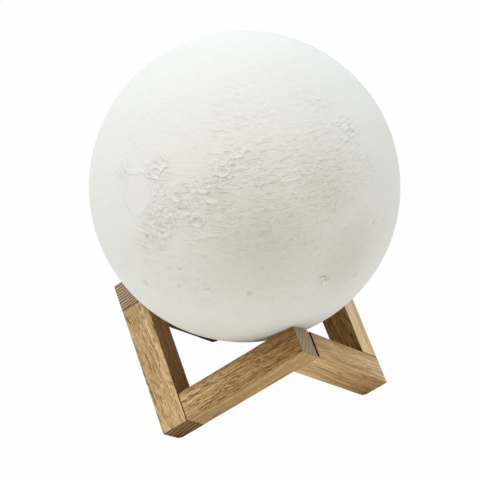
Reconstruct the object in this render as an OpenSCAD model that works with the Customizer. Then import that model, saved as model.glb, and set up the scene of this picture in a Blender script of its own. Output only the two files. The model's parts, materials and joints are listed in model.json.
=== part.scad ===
// A moon-shaped table lamp resting on the three peaks of a zig-zag wooden stand. Millimetres, +Z up.
// Origin: on the floor, under the centre of the moon. The front peak of the stand points to -Y.

/* [Stand] */
// Length of each of the six bars, also the distance between neighbouring corners
bar_l = 69.5; // [56:0.5:84]
// Side of the square bar section
bar_w = 14.5; // [11.5:0.5:18]
// Chamfer along every edge of a bar
edge_ease = 0.5; // [0.2:0.1:1.2]
// How much of each foot tip is sawn off level
foot_flat = 1; // [0.8:0.1:2]
// Width of the open joint at the front peak
open_joint = 0.8; // [0.1:0.1:1.2]
// Depth that the open joint runs in before it closes
open_depth = 6; // [3:0.5:9]
// Depth of the dish in each peak that the moon rests in
seat_depth = 1; // [0.4:0.1:1.6]
// Diameter of the hidden dowels
dowel_d = 6; // [4:0.5:8]
// Depth that a dowel enters the side of a bar
dowel_side = 9; // [6:0.5:9.5]
// Depth that a dowel enters the end of a bar
dowel_end = 12; // [8:0.5:18]

/* [Moon shell] */
// Diameter of the printed moon
moon_d = 150; // [124:1:200]
// Wall of the printed moon
shell_wall = 2.2; // [1.2:0.1:4]
// Gap between the moon and each dish that carries it
seat_gap = 0.3; // [0.1:0.1:1]

/* [Neck ring] */
// Height of the ring, lip not counted
neck_h = 12; // [10:0.5:16]
// Wall of the ring
neck_wall = 1.8; // [1.4:0.1:2.4]
// Width of the lip around the opening
lip_w = 2; // [1.5:0.25:4]
// Thickness of the lip
lip_t = 1.4; // [0.8:0.1:3]

/* [Base cap] */
// Thickness of the cap's outer flange
flange_t = 1.2; // [0.8:0.1:1.8]
// Thickness of the cap's floor
floor_t = 2; // [1.8:0.1:2.6]
// Wall of the cap
cap_wall = 1.6; // [1.2:0.1:2.4]
// Gap between the cap and the neck ring
cap_gap = 0.2; // [0.1:0.05:0.4]

/* [Controls] */
// Diameter of the push button
button_d = 8; // [6:0.5:10]
// How far the button travels when pressed
button_travel = 0.5; // [0.2:0.1:0.7]
// Inside width of the charging socket
socket_w = 8.34; // [6.8:0.01:10.2]
// Inside height of the charging socket
socket_h = 2.56; // [2.1:0.01:3.2]
// Length of the charging socket
socket_l = 8; // [6.5:0.5:10]

/* [Light engine] */
// Diameter of the battery cell
cell_d = 14.2; // [11.5:0.1:18.5]
// Length of the battery cell
cell_l = 50; // [36:1:66]
// Wall of the column around the cell
column_wall = 1.4; // [1.2:0.1:2]
// Room for components over the control board
board_room = 6; // [4:0.5:10]
// Thickness of the control board
board_t = 1.6; // [1:0.1:2]
// Number of light chips in the ring
led_count = 6; // [3:1:9]
// Wall of the diffuser dome
dome_wall = 1.2; // [0.8:0.1:1.6]

/* [Hidden] */
$fn = 96;

wood = [0.74, 0.60, 0.42];
printed = [0.95, 0.94, 0.91];
cap_white = [0.90, 0.90, 0.88];
eps = 0.01;

// Stand: the bars run along the zig-zag ring of edges of a cube that stands on one corner.
cube_centre_z = (bar_l + 3 * bar_w) / sqrt(3) / 2 - foot_flat;
cube_tilt = atan(sqrt(2));
dowel_gap = 0.05;
dowel_end_gap = 0.5;

// Screws: each passes through a foot of the column and the board, into a boss of the cap.
boss_r = 2.2;
screw_r = 1;
screw_head_r = 1.8;
screw_head_h = 1.3;
screw_gap = 0.1;
thread_gap = 0.05;
screw_turns = [30, 150, 270];

// Everything in the base is laid out from the cell outwards, and sets the size of the opening.
cell_r = cell_d / 2;
cell_gap = 0.2;
tube_in_r = cell_r + cell_gap;
tube_out_r = tube_in_r + column_wall;
screw_ring = tube_out_r + screw_head_r + 0.4;
board_r = screw_ring + boss_r + 0.3;
board_gap = 0.4;
cap_in_r = board_r + board_gap;
cap_r = cap_in_r + cap_wall;
neck_in_r = cap_r + cap_gap;
neck_out_r = neck_in_r + neck_wall;
glue_gap = 0.1;
neck_r = neck_out_r + glue_gap;
lip_r = neck_r + lip_w;
flange_r = lip_r - 1.2;

// Moon: its centre rests over the three peaks. seat_c is that centre in the frame of the cube, along
// each of its axes: a ball of radius touch_r touches the end corners of the bars, or their faces when
// it is small, and the dishes are cut seat_depth deeper than that.
moon_r = moon_d / 2;
seat_r = moon_r + seat_gap;
touch_r = seat_r - seat_depth;
past_corner = (sqrt(max(0, 3 * pow(touch_r, 2) - 2 * pow(bar_l, 2))) - bar_l) / 3;
seat_c = bar_w / 2 + (touch_r > bar_l ? bar_l + past_corner : touch_r);
moon_z = cube_centre_z + sqrt(3) * (seat_c - bar_l / 2);

// Heights in the moon, counted from its centre.
seat_z = -sqrt(pow(moon_r, 2) - pow(lip_r, 2));
under_z = seat_z - lip_t - flange_t;
floor_z = under_z + floor_t;

// Three lugs of the cap, in three windows of the neck ring.
lug_w = 4;
lug_h = 2;
lug_out = 1.1;
lug_z = seat_z + 5;
window_gap = 0.3;

socket_recess = 0.4;
socket_skin = 0.3;
slot_gap = 0.1;
slot_wall = 0.8;
socket_y = screw_ring - boss_r - slot_wall - slot_gap - socket_skin - socket_h / 2;
board_z = under_z + socket_recess + socket_l;
board_top = board_z + board_t;
cap_top = board_top + 1;
disc_z = board_top + board_room;
disc_t = 2;
disc_top = disc_z + disc_t;
screw_bite = board_z - floor_z - 1;
screw_tip_room = 0.4;

// Button, with its collar on the floor, under the switch.
button_gap = 0.1;
button_recess = 0.2;
collar_out = 0.9;
collar_gap = 0.05;
collar_t = 0.8;
button_y = button_d / 2 + collar_out + 1.1;
stem_r = 1.5;
stem_l = 1.05;
plunger_r = 1.6;
plunger_out = 1;
plunger_in = 0.5;
plunger_room = 0.3;
switch_side = 6;
switch_z = floor_z + collar_gap + collar_t + stem_l + plunger_out;

// Status light and its lens.
lens_pos = [-7, -1.5];
lens_r = 1.3;
lens_gap = 0.1;
lens_rim = 0.7;
lens_rim_t = 0.8;
status_h = 0.8;

// Heights of the cell and the lights, and the leads beside them.
tab_t = 0.2;
tab_r = 4.5;
tab_w = 1.2;
pad_t = 1;
pad_gap = 0.2;
cell_z = disc_top + tab_t;
cell_top = cell_z + cell_l;
head_z = cell_top + tab_t + pad_t;
head_t = 2;
lead_r = 0.6;
lead_hole_r = 0.9;
cell_lead_r = tube_in_r + column_wall / 2;
cell_lead_turn = 330;
led_lead_r = tube_out_r + lead_r + 0.2;
led_lead_turns = [82, 98];
led_board_r = led_lead_r + lead_r + 1.2;
led_board_t = 1.2;
led_top = head_z + led_board_t;
chip = [3.5, 2.8, 0.8];
chip_ring = led_board_r - chip.x / 2 - 1;
dome_gap = 1;
dome_r = led_board_r + dome_gap + dome_wall;
// Components on the control board: [direction, distance from the axis], [length, width, height]
components = [[[210, 4.6], [3.9, 4.9, 1.5]], [[90, 4.5], [4, 4, 1]], [[330, 3.6], [4.5, 4.5, 2.5]],
              [[10, 6.4], [1.25, 2, 1.2]], [[170, 6], [1.25, 2, 1.2]]];

// Puts its children on the cube that stands on one corner, with one cube corner at the origin.
module on_cube() {
    translate([0, 0, cube_centre_z]) rotate([0, -cube_tilt, 0]) rotate([0, 0, -45])
        translate(-[1, 1, 1] * bar_l / 2) children();
}

// A rising bar runs from a foot to a peak. turn is the third of the ring that it lies in.
module rising(turn) {
    rotate([0, 0, turn - 90]) on_cube() translate([bar_l, 0, 0]) rotate([0, 0, 90]) children();
}

// A falling bar runs from a peak to a foot.
module falling(turn) {
    rotate([0, 0, turn - 90]) on_cube() translate([bar_l, bar_l, 0]) rotate([90, 0, 180]) children();
}

// A centred rectangle with its four corners cut off.
module eased_rectangle(w, d) {
    polygon([for (q = [[1, 1], [-1, 1], [-1, -1], [1, -1]], k = [0, 1])
        let (first = (q.x * q.y > 0) ? k == 0 : k == 1)
        [q.x * (w / 2 - (first ? 0 : edge_ease)), q.y * (d / 2 - (first ? edge_ease : 0))]]);
}

// A centred block with all its edges eased.
module eased_block(l, w) {
    intersection() {
        rotate([0, 90, 0]) linear_extrude(l, center = true) eased_rectangle(w, w);
        linear_extrude(w, center = true) eased_rectangle(l, w);
        rotate([90, 0, 0]) linear_extrude(w, center = true) eased_rectangle(l, w);
    }
}

module dowel_hole(depth) {
    rotate([0, 90, 0]) cylinder(h = depth + dowel_end_gap, d = dowel_d + 2 * dowel_gap);
}

// One bar, along +X from the corner at the origin. The next bar butts on its +Y side, at its far end.
module bar() {
    color(wood) difference() {
        translate([(bar_w + bar_l) / 2, 0, 0]) eased_block(bar_l, bar_w);
        translate([bar_w / 2 - eps, 0, 0]) dowel_hole(dowel_end + eps);
        translate([bar_l, bar_w / 2 + eps, 0]) rotate([0, 0, -90]) dowel_hole(dowel_side + eps);
    }
}

// Takes a wedge off the start face of a bar, widest at its +Z side, so that this joint stands open.
module opened() {
    over = 1;
    difference() {
        children();
        translate([bar_w / 2, 0, bar_w / 2]) rotate([90, 0, 0]) linear_extrude(bar_w + over, center = true)
            polygon([[-over, -open_depth], [0, -open_depth],
                     [open_joint * (1 + over / open_depth), over], [-over, over]]);
    }
}

// The dowel at the start of a bar.
module dowel() {
    translate([bar_w / 2 - dowel_side, 0, 0]) rotate([0, 90, 0])
        cylinder(h = dowel_side + dowel_end, d = dowel_d);
}

// Saws the foot tip off level with the floor.
module level_foot() {
    difference() {
        children();
        translate([-moon_d, -moon_d, -moon_d]) cube([2 * moon_d, 2 * moon_d, moon_d]);
    }
}

// Cuts the dish that the moon rests in out of a peak.
module dished() {
    difference() {
        children();
        at_moon() sphere(r = seat_r, $fn = 180);
    }
}

module bar_front_left() { dished() rising(0) bar(); }
module bar_right() { dished() rising(120) bar(); }
module bar_back_left() { dished() rising(240) bar(); }
module bar_front_right() { dished() level_foot() falling(0) opened() bar(); }
module bar_back_right() { dished() level_foot() falling(120) bar(); }
module bar_left() { dished() level_foot() falling(240) bar(); }

module corner_dowels() {
    color("tan") for (turn = [0, 120, 240]) {
        rising(turn) dowel();
        falling(turn) dowel();
    }
}

module at_moon() { translate([0, 0, moon_z]) children(); }

// A tube or a disc along Z between two heights.
module tube(low, high, r_out, r_in = 0) {
    translate([0, 0, low]) difference() {
        cylinder(h = high - low, r = r_out);
        if (r_in > 0) translate([0, 0, -eps]) cylinder(h = high - low + 2 * eps, r = r_in);
    }
}

module at_screws(ring = screw_ring) {
    for (turn = screw_turns) rotate([0, 0, turn]) translate([ring, 0, 0]) children();
}

module moon_shell() {
    at_moon() color(printed) difference() {
        sphere(r = moon_r, $fn = 180);
        sphere(r = moon_r - shell_wall, $fn = 180);
        tube(-moon_r - 1, seat_z, lip_r + 5);
        tube(-moon_r - 1, seat_z + neck_h, neck_r);
    }
}

module lug(width, height, from_r, to_r) {
    for (turn = screw_turns) rotate([0, 0, turn])
        translate([from_r, -width / 2, lug_z - height / 2]) cube([to_r - from_r, width, height]);
}

module neck_ring() {
    at_moon() color(cap_white) difference() {
        union() {
            tube(seat_z - eps, seat_z + neck_h, neck_out_r);
            tube(seat_z - lip_t, seat_z, lip_r);
        }
        tube(seat_z - lip_t - 1, seat_z + neck_h + 1, neck_in_r);
        lug(lug_w + 2 * window_gap, lug_h + 2 * window_gap, neck_in_r - 1, neck_out_r + 1);
    }
}

// The section of the charging socket: a slot with round ends.
module slot_section(w, h) {
    square([w - h, h], center = true);
    for (side = [-1, 1]) translate([side * (w - h) / 2, 0]) circle(d = h);
}

module slot(low, high, grow) {
    translate([0, -socket_y, low]) linear_extrude(high - low)
        slot_section(socket_w + 2 * grow, socket_h + 2 * grow);
}

module base_cap() {
    at_moon() color(cap_white) difference() {
        union() {
            difference() {
                tube(under_z + flange_t - eps, cap_top, cap_r);
                tube(floor_z, cap_top + 1, cap_in_r);
            }
            tube(under_z, under_z + flange_t, flange_r);
            lug(lug_w, lug_h, cap_r - cap_wall / 2, cap_r + lug_out);
            at_screws() tube(floor_z - eps, board_z, boss_r);
        }
        at_screws() tube(board_z - screw_bite - screw_tip_room, board_z + 1, screw_r + thread_gap);
        translate([0, button_y, 0]) tube(under_z - 1, floor_z + 1, button_d / 2 + button_gap);
        translate(lens_pos) tube(under_z - 1, floor_z + 1, lens_r + lens_gap);
        slot(under_z - 1, floor_z + 1, socket_skin + slot_gap);
    }
}

module power_button() {
    low = under_z + button_recess;
    collar_z = floor_z + collar_gap;
    at_moon() translate([0, button_y, 0]) color("silver") union() {
        tube(low, collar_z + eps, button_d / 2);
        tube(collar_z, collar_z + collar_t, button_d / 2 + collar_out);
        tube(collar_z + collar_t - eps, switch_z - plunger_out, stem_r);
    }
}

module switch_plunger() {
    at_moon() translate([0, button_y, 0]) color("dimgray")
        tube(switch_z - plunger_out, switch_z + plunger_in, plunger_r);
}

module tact_switch() {
    at_moon() translate([0, button_y, 0]) color("black") difference() {
        translate([-switch_side / 2, -switch_side / 2, switch_z])
            cube([switch_side, switch_side, board_z - switch_z]);
        tube(switch_z - 1, switch_z + plunger_in + button_travel + plunger_room, plunger_r + button_gap);
    }
}

module indicator_lens() {
    at_moon() translate(lens_pos) color("white") union() {
        tube(under_z, floor_z + eps, lens_r);
        tube(floor_z, floor_z + lens_rim_t, lens_r + lens_rim);
        tube(floor_z + lens_rim_t - eps, board_z - status_h - lens_gap, lens_r);
    }
}

module status_led() {
    at_moon() translate([lens_pos.x, lens_pos.y, board_z - status_h / 2]) color("lightgreen")
        cube([2, 1.2, status_h], center = true);
}

module socket_shell() {
    at_moon() color("silver") difference() {
        slot(board_z - socket_l, board_z, socket_skin);
        slot(board_z - socket_l - 1, board_z + 1, 0);
    }
}

module socket_tongue() {
    tongue_w = socket_w - 1.6;
    tongue_t = 0.7;
    plug_gap = 0.02;
    tongue_recess = 0.8;
    plug_t = 1.6;
    at_moon() color("black") union() {
        slot(board_z - plug_t, board_z, -plug_gap);
        translate([-tongue_w / 2, -socket_y - tongue_t / 2, board_z - socket_l + tongue_recess])
            cube([tongue_w, tongue_t, socket_l - tongue_recess - plug_t + eps]);
    }
}

module control_board() {
    at_moon() color("seagreen") difference() {
        tube(board_z, board_top, board_r);
        at_screws() tube(board_z - 1, board_top + 1, screw_r + screw_gap);
    }
}

module board_chips() {
    at_moon() color("black") for (part = components) rotate([0, 0, part[0][0]])
        translate([part[0][1] - part[1].x / 2, -part[1].y / 2, board_top]) cube(part[1]);
}

module column_screws() {
    at_moon() color("silver") at_screws() union() {
        tube(board_z - screw_bite, disc_top + eps, screw_r);
        tube(disc_top, disc_top + screw_head_h, screw_head_r);
    }
}

module lead_holes(low, high) {
    for (turn = led_lead_turns) rotate([0, 0, turn])
        translate([led_lead_r, 0, 0]) tube(low, high, lead_hole_r);
}

// The column has a slot in its wall for the lead from the top of the cell.
module lamp_column() {
    at_moon() color(cap_white) difference() {
        union() {
            tube(disc_z, disc_top, board_r);
            tube(disc_top - eps, head_z, tube_out_r);
            tube(head_z - head_t, head_z, dome_r);
            at_screws() tube(board_top, disc_z + eps, boss_r);
        }
        tube(disc_top, head_z + 1, tube_in_r);
        at_screws() tube(board_top - 1, disc_top + 1, screw_r + screw_gap);
        tube(disc_z - 1, disc_top + 1, lead_hole_r);
        rotate([0, 0, cell_lead_turn]) translate([0, -lead_hole_r, disc_z - 1])
            cube([tube_out_r + 1, 2 * lead_hole_r, head_z - head_t - disc_z + 1]);
        rotate([0, 0, cell_lead_turn]) translate([0, -lead_hole_r, head_z - head_t - 1])
            cube([cell_lead_r + lead_hole_r, 2 * lead_hole_r, head_t + 2]);
        lead_holes(disc_z - 1, disc_top + 1);
        lead_holes(head_z - head_t - 1, head_z + 1);
    }
}

module battery_cell() {
    at_moon() color("steelblue") tube(cell_z, cell_top, cell_r);
}

module cell_tabs() {
    at_moon() color("silver") {
        tube(disc_top, cell_z, tab_r);
        union() {
            tube(cell_top, cell_top + tab_t, tab_r);
            rotate([0, 0, cell_lead_turn]) translate([0, -tab_w / 2, cell_top])
                cube([cell_lead_r + tab_w / 2, tab_w, tab_t]);
        }
    }
}

module cell_pad() {
    at_moon() color("dimgray") tube(cell_top + tab_t, head_z, cell_r - pad_gap);
}

module cell_leads() {
    at_moon() color("firebrick") {
        tube(board_top, disc_top, lead_r);
        rotate([0, 0, cell_lead_turn]) translate([cell_lead_r, 0, 0]) tube(board_top, cell_top, lead_r);
    }
}

module led_board() {
    at_moon() color("white") tube(head_z, led_top, led_board_r);
}

module led_chip() {
    translate([-chip.x / 2, -chip.y / 2, led_top]) cube(chip);
}

module led_chips() {
    at_moon() color("khaki") {
        led_chip();
        for (k = [0:led_count - 1]) rotate([0, 0, k * 360 / led_count])
            translate([chip_ring, 0, 0]) led_chip();
    }
}

module led_leads() {
    at_moon() color("firebrick") for (turn = led_lead_turns)
        rotate([0, 0, turn]) translate([led_lead_r, 0, 0]) tube(board_top, head_z, lead_r);
}

module diffuser_dome() {
    at_moon() translate([0, 0, head_z]) color("white") rotate_extrude() difference() {
        intersection() {
            circle(r = dome_r);
            square(dome_r);
        }
        circle(r = dome_r - dome_wall);
    }
}

bar_front_left();
bar_front_right();
bar_right();
bar_back_right();
bar_back_left();
bar_left();
corner_dowels();
moon_shell();
neck_ring();
base_cap();
power_button();
switch_plunger();
tact_switch();
indicator_lens();
status_led();
socket_shell();
socket_tongue();
control_board();
board_chips();
column_screws();
lamp_column();
battery_cell();
cell_tabs();
cell_pad();
cell_leads();
led_board();
led_chips();
led_leads();
diffuser_dome();
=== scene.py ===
import json
import math

import bmesh
import bpy
import numpy as np
from mathutils import Matrix, Vector, noise


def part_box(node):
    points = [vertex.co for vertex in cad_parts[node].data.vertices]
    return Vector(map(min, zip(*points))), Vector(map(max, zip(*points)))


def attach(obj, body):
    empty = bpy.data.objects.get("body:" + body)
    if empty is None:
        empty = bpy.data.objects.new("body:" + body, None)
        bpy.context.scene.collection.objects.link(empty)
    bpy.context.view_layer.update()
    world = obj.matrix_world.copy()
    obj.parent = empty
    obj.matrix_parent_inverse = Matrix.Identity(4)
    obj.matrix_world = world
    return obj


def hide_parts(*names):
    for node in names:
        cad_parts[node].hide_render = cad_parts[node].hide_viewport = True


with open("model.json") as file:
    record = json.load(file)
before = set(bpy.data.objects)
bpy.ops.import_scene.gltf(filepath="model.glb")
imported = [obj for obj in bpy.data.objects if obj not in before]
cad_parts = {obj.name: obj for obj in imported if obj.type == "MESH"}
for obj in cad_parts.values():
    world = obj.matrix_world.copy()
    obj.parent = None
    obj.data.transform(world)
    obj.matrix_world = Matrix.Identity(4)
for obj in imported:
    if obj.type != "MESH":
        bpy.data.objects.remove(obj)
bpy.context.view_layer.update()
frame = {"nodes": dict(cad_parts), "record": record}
scene = bpy.context.scene

# ---------------------------------------------------------------- sizes, from the frame, in metres
MM = 0.001
IMAGE_SIDE = 480  # pixels
PICTURE_MIDDLE = (240, 187)  # on the moon, in pixels

shell_low, shell_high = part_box("moon_shell")
ring_low, ring_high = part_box("neck_ring")
MOON_RADIUS = (shell_high.x - shell_low.x) / 2
MOON_CENTRE = Vector((0, 0, shell_high.z - MOON_RADIUS))
SEAT_Z = shell_low.z
LIP_RADIUS = (ring_high.x - ring_low.x) / 2
LIP_WIDTH = 2.0 * MM
NECK_RADIUS = LIP_RADIUS - LIP_WIDTH
SHELL_WALL = 2.2 * MM

BAR_LENGTH = 69.5 * MM
BAR_WIDTH = 14.5 * MM
FOOT_FLAT = 1 * MM
OPEN_JOINT = 2.0 * MM  # at its mouth
OPEN_DEPTH = 6 * MM
CLOSED_EDGE = 0.6 * MM  # the joint is shut along the outer edge
SEAT_GAP = 0.3 * MM
SEAT_RADIUS = MOON_RADIUS + SEAT_GAP
DOWEL_RADIUS = 3 * MM
DOWEL_IN_SIDE = 9 * MM
DOWEL_IN_END = 12 * MM
CUBE_CENTRE = Vector((0, 0, (BAR_LENGTH + 3 * BAR_WIDTH) / math.sqrt(3) / 2 - FOOT_FLAT))

# ---------------------------------------------------------------- camera, as the photograph was taken
CAMERA_AZIMUTH = -20.345
CAMERA_ELEVATION = 28.076
CAMERA_ROLL = -2.373
CAMERA_DISTANCE = 0.8410
CAMERA_LENS = 125.19
AIM_RIGHT = -3.37 * MM
AIM_UP = 47.75 * MM


def make_camera():
    azimuth, elevation, roll = map(math.radians, (CAMERA_AZIMUTH, CAMERA_ELEVATION, CAMERA_ROLL))
    back = Vector((math.sin(azimuth) * math.cos(elevation), -math.cos(azimuth) * math.cos(elevation),
                   math.sin(elevation)))
    right = Vector((math.cos(azimuth), math.sin(azimuth), 0))
    place = CUBE_CENTRE + back * CAMERA_DISTANCE
    aim = CUBE_CENTRE + right * AIM_RIGHT + right.cross(back) * -AIM_UP
    forward = (aim - place).normalized()
    level = forward.cross(Vector((0, 0, 1))).normalized()
    up = level.cross(forward)
    across = level * math.cos(roll) + up * math.sin(roll)
    upright = up * math.cos(roll) - level * math.sin(roll)
    data = bpy.data.cameras.new("camera")
    data.lens, data.sensor_width = CAMERA_LENS, 36
    data.clip_start, data.clip_end = 0.01, 20
    camera = bpy.data.objects.new("camera", data)
    camera.matrix_world = Matrix((
        (across.x, upright.x, -forward.x, place.x),
        (across.y, upright.y, -forward.y, place.y),
        (across.z, upright.z, -forward.z, place.z),
        (0, 0, 0, 1)))
    scene.collection.objects.link(camera)
    scene.camera = camera
    return camera


camera = make_camera()


def on_moon(x, y):
    """The direction from the moon's centre to its surface at a pixel of the photograph."""
    half = IMAGE_SIDE / 2
    per_pixel = camera.data.sensor_width / IMAGE_SIDE / camera.data.lens
    turn = camera.matrix_world.to_3x3()
    ray = (turn @ Vector(((x - half) * per_pixel, (half - y) * per_pixel, -1))).normalized()
    start = camera.matrix_world.translation - MOON_CENTRE
    along = -start.dot(ray)
    miss = start.length_squared - along ** 2
    return (start + ray * (along - math.sqrt(max(MOON_RADIUS ** 2 - miss, 0)))).normalized()


# ---------------------------------------------------------------- small helpers
def new_object(name, mesh, body, replaced=()):
    piece = bpy.data.objects.new(name, mesh)
    scene.collection.objects.link(piece)
    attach(piece, body)
    if replaced:
        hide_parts(*replaced)
    return piece


def smooth_step(value, low, high):
    part = np.clip((value - low) / (high - low), 0, 1)
    return part * part * (3 - 2 * part)


# ---------------------------------------------------------------- the moon's relief, in millimetres below its outline
RANDOM = np.random.default_rng(7)
PIXEL = 1 / 1.98  # millimetres on the moon, where it faces the camera
# Places in the photograph: x, y, and a radius in pixels
PLAIN_LEFT = (137, 192, 17)
# Rough ground, from the lower left to the upper right, with its strength
ROUGH_BAND = (
    ((150, 240, 20), 0.8), ((160, 220, 26), 0.9), ((183, 207, 26), 0.85), ((210, 195, 26), 0.85),
    ((232, 172, 30), 0.56), ((262, 168, 32), 0.5), ((290, 158, 34), 0.38), ((322, 142, 30), 0.35),
    ((346, 130, 16), 0.66), ((318, 104, 18), 0.3), ((285, 212, 50), 0.45), ((325, 185, 45), 0.45),
    ((240, 125, 48), 0.22), ((340, 235, 50), 0.25), ((158, 172, 18), 0.66), ((122, 172, 14), 0.4),
    ((180, 262, 60), 0.28), ((290, 275, 60), 0.2), ((210, 70, 60), 0.02), ((290, 90, 50), 0.14),
    ((235, 228, 36), 0.45), ((360, 165, 24), 0.4), ((140, 135, 40), 0.08),
)
RIM_WIDTH = 0.75  # millimetres
MOST_AT_LEVEL = 96  # percent of the ground lies below the outline; what is higher is rounded off to it
TOP_ROUNDING = 0.07  # millimetres
BAND_CRATERS = 260  # small craters and lumps, strewn over the rough ground
BAND_MARK_RADIUS = (1.8, 4.5)  # pixels
BAND_MARK_DEPTH = 0.22  # of the deepest one, in millimetres
LARGE_CRATERS = 26
LARGE_CRATER_RADIUS = (6, 12)  # millimetres
SMALL_CRATERS = 1400
# Craters: place, then depth, rim and middle peak in millimetres; where the depth is below 0, the ground is raised
CRATERS = (
    ((137, 192, 17.5), 0.09, 0.16, 0), ((321, 276.5, 2.6), 0.34, 0, 0), ((325.5, 282, 6), -0.36, 0, 0),
    ((198, 221, 5), 0.18, 0.34, 0.1), ((222, 171, 1.6), 0.3, 0, 0), ((184, 207, 7), 0.26, 0.22, 0),
    ((162, 226, 9), 0.12, 0.20, 0.05), ((319, 99, 2.5), -0.18, 0.05, 0), ((222, 171, 5), 0.10, 0.26, 0.0),
    ((155, 172, 5), 0.16, 0.24, 0.2), ((371, 167, 2.5), 0.0, 0.05, 0.42), ((147, 236, 3), 0.45, 0.22, 0),
    ((259, 181, 3), 0.22, 0.20, 0), ((319, 190, 2.5), 0.20, 0.10, 0), ((346, 128, 3.5), -0.20, 0.04, 0),
    ((146, 262, 4), 0.27, 0.05, 0), ((146, 283, 3), 0.30, 0.20, 0), ((180, 286, 3.5), 0.3, 0.06, 0),
    ((208, 289, 3.5), 0.28, 0.08, 0), ((249, 294, 2), 0.10, 0.26, 0), ((310, 241, 3), 0.04, 0.16, 0),
    ((374, 222, 3), 0.28, 0.10, 0), ((384, 219, 3), 0.28, 0.10, 0), ((179, 269, 2.2), 0.34, 0, 0),
    ((352, 287, 3.5), 0.33, 0.14, 0), ((235, 164, 5), 0.10, 0.18, 0.2), ((154, 236, 2.2), 0.24, 0.10, 0),
    ((163, 233, 2.5), 0.24, 0.28, 0), ((170, 222, 5), 0.14, 0.20, 0), ((212, 200, 4), 0.0, 0.10, 0.3),
    ((197, 194, 4), 0.06, 0.16, 0.25), ((345, 138, 4), -0.20, 0.04, 0), ((325, 105, 2.2), -0.14, 0.04, 0),
    ((326, 280, 1.4), 0.85, 0, 0), ((325, 276.3, 1.4), 0.6, 0, 0), ((320, 118, 4), -0.10, 0.04, 0),
    ((248, 155, 5), 0.04, 0.16, 0), ((333, 182, 2.2), 0.18, 0.06, 0), ((355, 275, 4), 0.3, 0.1, 0),
    ((205, 186, 3), 0.16, 0.05, 0), ((240, 152, 4), 0.0, 0.1, 0.3),
)
# Long grooves (below 0) and ridges (above 0): the place with half the length in pixels, then half the width and
# the height in millimetres
STREAKS = (
    ((285, 224, 12), 0.7, -0.13), ((283, 228, 13), 0.6, 0.08), ((290, 181, 9), 0.7, 0.14),
    ((291, 184, 9), 0.6, -0.12), ((288, 258, 7), 0.8, -0.07), ((251, 63, 6), 0.6, -0.10),
    ((213, 196, 8), 0.7, -0.28), ((212, 201, 5), 0.8, 0.34), ((216, 185, 14), 0.6, -0.10),
    ((210, 236, 9), 0.9, 0.34), ((137, 213, 7), 0.7, -0.16), ((196, 240, 3), 0.9, 0.25),
    ((186, 210, 9), 0.6, -0.20), ((240, 148, 8), 0.9, 0.08), ((236, 167, 9), 0.7, -0.16),
    ((257, 152, 6), 0.8, 0.07), ((276, 306, 7), 0.8, -0.05), ((328, 66, 6), 0.6, -0.06),
    ((345, 152, 9), 0.7, -0.14), ((226, 176, 6), 0.6, -0.14), ((204, 192, 6), 0.7, 0.14),
    ((150, 206, 4), 0.8, -0.12), ((230, 130, 9), 0.9, -0.06), ((233, 163, 4), 0.9, 0.24),
    ((246, 151, 5), 0.8, 0.16), ((237, 156, 4), 0.8, 0.12), ((203, 193, 5), 0.8, 0.24),
    ((230, 178, 2.5), 0.8, 0.28), ((264, 183, 3), 1.0, 0.22), ((203, 238, 5), 1.0, 0.22),
    ((345, 127, 3.5), 1.3, 0.34), ((346, 139, 3.5), 1.3, 0.34), ((160, 170, 5), 0.9, 0.26),
    ((156, 178, 3), 0.9, 0.24), ((160, 208, 3), 0.9, 0.26), ((176, 200, 3), 1.0, 0.30),
    ((185, 204, 3), 1.1, 0.30), ((126, 170, 4), 0.9, 0.20), ((134, 174, 5), 0.9, 0.14),
    ((154, 222, 3), 0.9, 0.20), ((165, 234, 3), 0.9, 0.30), ((270, 140, 7), 0.8, -0.10),
    ((256, 133, 8), 0.8, 0.08), ((300, 128, 8), 0.8, -0.08), ((215, 140, 6), 0.8, -0.08),
    ((262, 118, 9), 0.9, -0.06),
)

# Painted shade on the front of the moon: where it is painted a little darker and warmer, as if in shade: place and
# share
PAINTED_SHADE_SPOTS = (((262, 242, 90), 0.85), ((345, 262, 60), 0.7), ((322, 190, 60), 0.6))


def photo_spot(place):
    return np.array(on_moon(place[0], place[1])), place[2] * PIXEL


def spread_points(count, random):
    points = random.normal(size=(count, 3))
    return points / np.linalg.norm(points, axis=1)[:, None]


def field(points, scale, octaves, offset, rough=0.5):
    """Fractal noise at points on the unit ball, about -1 to 1."""
    total = np.zeros(len(points))
    for k in range(octaves):
        size = scale * 2 ** k
        total += rough ** k * np.array([noise.noise(Vector(p * size) + offset) for p in points])
    return total


def crater_profile(share, radius_mm, depth, rim, peak=0.0):
    """Height over a crater, by the share of its radius: a bowl with a flat floor, a rim and a fading apron."""
    bowl = -depth * (1 - smooth_step(share, 0.45, 1.0))
    wall = rim * np.exp(-((share - 1.0) / np.clip(RIM_WIDTH / radius_mm, 0.16, 0.5)) ** 2)
    apron = rim * 0.35 * np.exp(-np.maximum(share - 1.0, 0) / 0.28) * (share > 1.0)
    middle = peak * np.exp(-(share / 0.26) ** 2)
    return bowl + wall + apron + middle


def add_crater(height, points, centre, radius_mm, depth, rim, wobble, peak=0.0):
    across = radius_mm / (MOON_RADIUS / MM)
    near = np.nonzero(points @ centre > math.cos(min(across * 2.2, 1.4)))[0]
    if not len(near):
        return
    away = points[near] - np.outer(points[near] @ centre, centre)
    distance = np.arccos(np.clip(points[near] @ centre, -1, 1))
    side = np.cross(centre, [0.3, 0.5, 0.8])
    side /= np.linalg.norm(side)
    turn = np.arctan2(away @ np.cross(centre, side), away @ side)
    edge = 1 + wobble * (0.6 * np.sin(2 * turn + centre[0] * 9) + 0.4 * np.sin(3 * turn + centre[1] * 17)
                         + 0.35 * np.sin(5 * turn + centre[2] * 23))
    height[near] += crater_profile(distance / across / edge, radius_mm, depth, rim, peak)


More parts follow.
